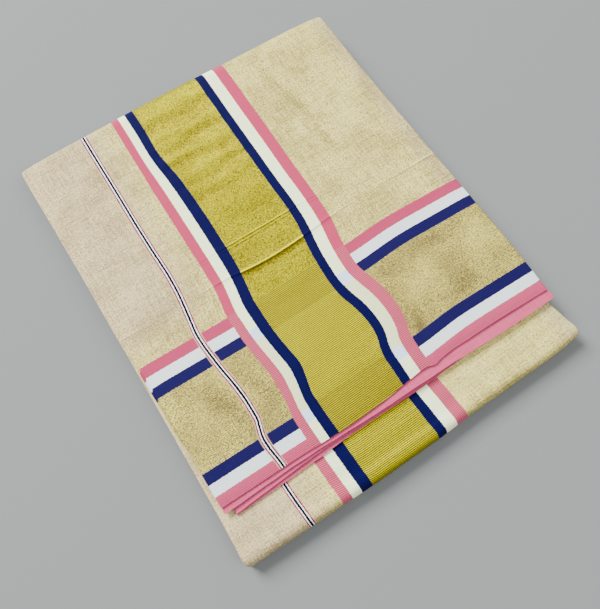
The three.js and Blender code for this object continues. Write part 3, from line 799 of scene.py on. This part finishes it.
# Painted light: the tissue of the near strip is painted brighter.
sparkle = plus(ground, sparkle, ramp(ground, s, 590, 620, 0.0, 0.25))
dull_tissue = blend(ground, pinkish, CREAM_DEEP, LINEN_DEEP)
lit_tissue = blend(ground, pinkish, CREAM, LINEN)
tissue = blend(ground, sparkle, dull_tissue, lit_tissue)
field = use(ground, stripe, Place=s, From=FIELD[0], To=FIELD[1], Soft=0.4)["Mask"]
# The field's painted sheen: broad patches, and more of it toward the right side.
field_sheen = plus(ground, ramp(ground, painted_sheen, 0, 1, 0.66, 1.0), ramp(ground, a, 96, 120, 0.0, 0.2))
glow = times(ground, threads["Thread shade"], field_sheen)
# Painted highlight on creases and painted shade in hollows.
glow = plus(ground, glow, times(ground, given["Rub"], 0.5))
colour = blend(ground, field, tissue, blend(ground, glow, BORDER_DEEP, BORDER_GLOW))
# The rows.
ragged = plus(ground, s, ramp(ground, spots(ground, place, 0.9), 0.3, 0.7, -RAGGED, RAGGED))
row = navy_row = 0.0
for first, last, dye in ROWS:
    mask = use(ground, stripe, Place=ragged, From=first, To=last, Soft=SOFT)["Mask"]
    colour = blend(ground, mask, colour, dye)
    row = plus(ground, mask, row)
    if dye == NAVY:
        navy_row = plus(ground, mask, navy_row)
colour = blend(ground, ramp(ground, threads["Height"], 0, 1, 0.3, 0.0), colour, GROOVE, "MULTIPLY")
metal = times(ground, rest_of(ground, row), ramp(ground, field, 0, 1, TISSUE_METAL, FIELD_METAL))
relief = plus(ground, threads["Height"], streak)
for name, value in (("Colour", colour), ("Metal", metal), ("Row", row), ("Navy row", navy_row),
                    ("Height", relief)):
    ground.links.new(value, made[name])
print("border rows:", len(ROWS), "from the selvedge to", BORDER_END, "mm in")

# %% [markdown]
# ## The end piece's bands
# The end piece (pallu) is woven across the saree with coloured and gold weft: one narrow stripe,
# and a broad gold band between two sets of navy, white and pink. Where a band crosses the border,
# its weft lies over the border's coloured threads, so it is ribbed there, the gold is duller over
# the rows, and the white turns bluish over navy. The bands could be painted over everything, but
# these small changes are what makes them look woven.

# %% End piece bands
# The brightest gold is a painted highlight on crease ridges and ribs; the deepest is the gold's dark
# threads and painted shade under creases and in rib grooves.
GOLD, GOLD_DEEP_AND_SHADE, GOLD_DULL = shade(176, 170, 1), shade(86, 70, 1), shade(128, 117, 32)
GOLD_HIGHLIGHT = shade(216, 210, 10)
DEEP_NAVY, IVORY, ROSE = shade(3, 2, 58), shade(243, 252, 202), shade(176, 60, 90)
ICE, IVORY_ON_FIELD = shade(196, 216, 252), shade(196, 202, 148)
# Painted highlight on the rose's rib ridges and painted shade in its grooves.
ROSE_RIB_HIGHLIGHT, ROSE_GROOVE_SHADE = shade(200, 96, 116), shade(134, 50, 66)
GOLD_BAND = (-38, 12)
# Rows of (from, to, colour).
BANDS = ((-57.5, -51.3, ROSE), (-51.3, -45.1, IVORY), (-45.1, -38.0, DEEP_NAVY),
         (12.0, 18.3, DEEP_NAVY), (18.3, 26.4, IVORY), (26.4, 34.5, ROSE))
NARROW = -79.5
# Rows of (half width, softness, colour), each laid over the one before.
NARROW_THREADS = ((2.8, 0.5, shade(200, 160, 128)), (2.25, 0.2, shade(108, 28, 52)),
                  (1.42, 0.15, shade(254, 248, 253)), (0.76, 0.1, shade(0, 0, 5)))
RIB = 1.15  # from one rib to the next, on the border and on the near strip
STRIP_RIBS = (597, 660)  # from where to where on the strip, from the selvedge
GOLD_LINES = (97.3, 55.0, 41.6)  # single dark picks across the gold, from the selvedge

bands, given, made = new_group(
    "End piece bands", {"Across": "Float", "From selvedge": "Float", "Ground": "Color", "Row": "Float",
                        "Navy row": "Float", "Rub": "Float"},
    {"Colour": "Color", "Cover": "Float", "Gold": "Float", "Height": "Float"})
a, s = given["Across"], given["From selvedge"]
place = put(bands, "ShaderNodeCombineXYZ", {0: a, 1: s}).outputs[0]
ragged = plus(bands, a, ramp(bands, spots(bands, place, 0.9), 0.3, 0.7, -RAGGED, RAGGED))
rib_wave = sums(bands, "SINE", times(bands, s, 2 * math.pi / RIB))
ribs = ramp(bands, rib_wave, -1, 1)
on_border = use(bands, stripe, Place=s, From=-20, To=BORDER_END, Soft=0.6)["Mask"]
on_strip = use(bands, stripe, Place=s, From=STRIP_RIBS[0], To=STRIP_RIBS[1], Soft=6)["Mask"]
ribbed = plus(bands, on_border, on_strip)
# Where the ribs get painted shade in their grooves.
groove_shade = times(bands, ribbed, rest_of(bands, ribs))

# Gold: lit threads among deep ones, with painted sheen, a painted highlight on crease ridges and
# painted shade under them, duller over the rows, with dark picks, a painted highlight on the ribs
# and painted shade in their grooves.
gold = use(bands, stripe, Place=ragged, From=GOLD_BAND[0], To=GOLD_BAND[1], Soft=SOFT)["Mask"]
painted_sheen = use(bands, zari, Place=place)["Sheen"]
threads = use(bands, weave, Across=a, Along=s, Thread=THREAD)
lit = times(bands, threads["Thread shade"], ramp(bands, painted_sheen, 0, 1, 0.9, 1.2))
lit = plus(bands, lit, times(bands, given["Rub"], 0.7))
band_gold = blend(bands, lit, GOLD_DEEP_AND_SHADE, GOLD)
band_gold = blend(bands, ramp(bands, given["Rub"], 0.35, 0.9), band_gold, GOLD_HIGHLIGHT)
band_gold = blend(bands, times(bands, given["Row"], 0.5), band_gold, GOLD_DULL)
for line in GOLD_LINES:
    mask = use(bands, stripe, Place=s, From=line - 0.25, To=line + 0.25, Soft=0.15)["Mask"]
    band_gold = blend(bands, times(bands, mask, 0.45), band_gold, GOLD_DEEP_AND_SHADE)
over_rows = rest_of(bands, times(bands, given["Row"], 0.4))
ridge = times(bands, times(bands, ribbed, ribs), over_rows)
# Painted highlight on the rib ridges, and painted shade in the grooves, under creases and in hollows.
colour = blend(bands, times(bands, ridge, 0.75), band_gold, GOLD_HIGHLIGHT)
colour = blend(bands, times(bands, groove_shade, 0.95), colour, GOLD_DEEP_AND_SHADE)
colour = blend(bands, ramp(bands, given["Rub"], -0.1, -1.0, 0.0, 0.6), colour, GOLD_DEEP_AND_SHADE)

# The coloured bands. Over the border the white is creamier on the field and bluish over navy.
cover = gold
for first, last, dye in BANDS:
    mask = use(bands, stripe, Place=ragged, From=first, To=last, Soft=SOFT)["Mask"]
    if dye == IVORY:
        over_navy = ramp(bands, threads["Thread shade"], 0, 1, 0.6, 1.0)
        over_navy = times(bands, given["Navy row"], over_navy)
        over_field = times(bands, on_border, sums(bands, "SUBTRACT", 0.5, given["Row"]))
        dye = blend(bands, over_field, dye, IVORY_ON_FIELD)
        dye = blend(bands, over_navy, dye, ICE)
    # Rose gets a painted highlight on its rib ridges and painted shade in its grooves.
    if dye == ROSE:
        dye = blend(bands, times(bands, ribbed, ribs), dye, ROSE_RIB_HIGHLIGHT)
        dye = blend(bands, times(bands, groove_shade, 0.6), dye, ROSE_GROOVE_SHADE)
    colour = blend(bands, mask, colour, dye)
    cover = plus(bands, cover, mask)
colour = blend(bands, ramp(bands, threads["Height"], 0, 1, 0.2, 0.0), colour, GROOVE, "MULTIPLY")
colour = blend(bands, cover, given["Ground"], colour)

# The narrow stripe.
off_middle = sums(bands, "ABSOLUTE", sums(bands, "SUBTRACT", ragged, NARROW))
for half, soft, dye in NARROW_THREADS:
    mask = ramp(bands, off_middle, half + soft, half - soft)
    colour = blend(bands, mask, colour, dye)
    cover = sums(bands, "MAXIMUM", cover, mask)
for name, value in (("Colour", colour), ("Cover", cover), ("Gold", gold),
                    ("Height", times(bands, ribbed, times(bands, ribs, 2.0)))):
    bands.links.new(value, made[name])
print("end piece bands:", len(BANDS) + 1, "and one narrow stripe")

# %% [markdown]
# ## The three cloths
# The outermost turn has ground, border and bands. The inner turns come from the body of the saree,
# which has no bands, and of the loose selvedges only the plain pink row shows. Gold thread could be
# metal and cotton not, each thread by itself, but threads are too fine to tell apart from here. So
# one Principled shader has a share of metal, and cloth with more metal thread is less rough.

# %% Cloth materials
RELIEF = 0.10  # how deep the weave is
LEAF_PINK, LEAF_STREAK = shade(184, 74, 106), shade(196, 84, 116)


def cut_axes(tree):
    """Places on the cut cloth in millimetres: across, and from the selvedge."""
    cut = put(tree, "ShaderNodeUVMap", uv_map="cut").outputs[0]
    split = put(tree, "ShaderNodeSeparateXYZ", {0: cut})
    return [times(tree, split.outputs[k], 1000.0) for k in (0, 1)]


def new_cloth(name):
    material = bpy.data.materials.new(name)
    material.use_nodes = True
    tree = material.node_tree
    shader = tree.nodes["Principled BSDF"]
    shader.inputs["Specular IOR Level"].default_value = 0.06
    return material, tree, shader


def finish_cloth(tree, shader, colour, metal, roughness, height):
    """Give a cloth its colour, share of metal, roughness and relief, each a value or a socket."""
    normal = put(tree, "ShaderNodeBump", {"Height": height, "Strength": 0.6, "Distance": RELIEF * MM})
    for name, value in (("Base Color", colour), ("Metallic", metal), ("Roughness", roughness),
                        ("Normal", normal.outputs[0])):
        if isinstance(value, bpy.types.NodeSocket):
            tree.links.new(value, shader.inputs[name])
        else:
            shader.inputs[name].default_value = value


def dress(piece, material):
    piece.data.materials.clear()
    piece.data.materials.append(material)


pallu_cloth, tree, shader = new_cloth("pallu cloth")
a, s = cut_axes(tree)
# The painted light and shade laid with the sheet.
painted_light = put(tree, "ShaderNodeAttribute", attribute_name="painted_light").outputs["Fac"]
base = use(tree, ground, Across=a, From_selvedge=s, Rub=painted_light)
top = use(tree, bands, Across=a, From_selvedge=s, Ground=base["Colour"], Row=base["Row"],
          Navy_row=base["Navy row"], Rub=painted_light)
uncovered = rest_of(tree, top["Cover"])
metal = plus(tree, times(tree, base["Metal"], uncovered), times(tree, top["Gold"], BAND_METAL))
roughness = ramp(tree, metal, 0.0, 0.5, 0.68, 0.42)
height = plus(tree, base["Height"], top["Height"])
finish_cloth(tree, shader, top["Colour"], metal, roughness, height)
dress(pallu, pallu_cloth)

body_cloth, tree, shader = new_cloth("body cloth")
a, s = cut_axes(tree)
base = use(tree, ground, Across=a, From_selvedge=s)
roughness = ramp(tree, base["Metal"], 0.0, 0.5, 0.70, 0.45)
finish_cloth(tree, shader, base["Colour"], base["Metal"], roughness, base["Height"])
dress(inner_turns, body_cloth)

selvedge_cloth, tree, shader = new_cloth("selvedge cloth")
a, s = cut_axes(tree)
streak = use(tree, slub, Across=a, Along=s)["Streak"]
threads = use(tree, weave, Across=a, Along=s, Thread=THREAD)["Height"]
pink = blend(tree, streak, LEAF_PINK, LEAF_STREAK)
pink = blend(tree, ramp(tree, threads, 0, 1, 0.2, 0.0), pink, GROOVE, "MULTIPLY")
finish_cloth(tree, shader, pink, 0.0, ramp(tree, streak, 0, 1, 0.75, 0.65), threads)
for leaf in leaves:
    dress(leaf, selvedge_cloth)

# %% [markdown]
# ## The floor's finish
# A studio's ground is matt paper or paint. Noise could dirty it, but plain pale paint keeps the
# eye on the cloth.

# %% Floor material
floor_paint = bpy.data.materials.new("floor paint")
floor_paint.use_nodes = True
shader = floor_paint.node_tree.nodes["Principled BSDF"]
shader.inputs["Base Color"].default_value = shade(114, 117, 116)
shader.inputs["Roughness"].default_value = 0.9
shader.inputs["Specular IOR Level"].default_value = 0.1
dress(floor, floor_paint)
print("materials:", [m.name for m in (pallu_cloth, body_cloth, selvedge_cloth, floor_paint)])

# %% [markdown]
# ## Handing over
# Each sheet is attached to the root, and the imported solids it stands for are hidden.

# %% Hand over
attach(pallu, "root")
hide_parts("upper_leaf", "far_fold", "underside", "near_fold_strip")

NODES = ("selvedge_leaf_second", "selvedge_leaf_third", "selvedge_leaf_fourth")
for leaf, node, width, below in zip(leaves, NODES, (0.249, 0.238, 0.238),
                                    ("selvedge_third", "selvedge_fourth", "pallu_turn")):
    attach(leaf, "root")
    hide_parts(node)

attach(inner_turns, "root")
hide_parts("hidden_layers")
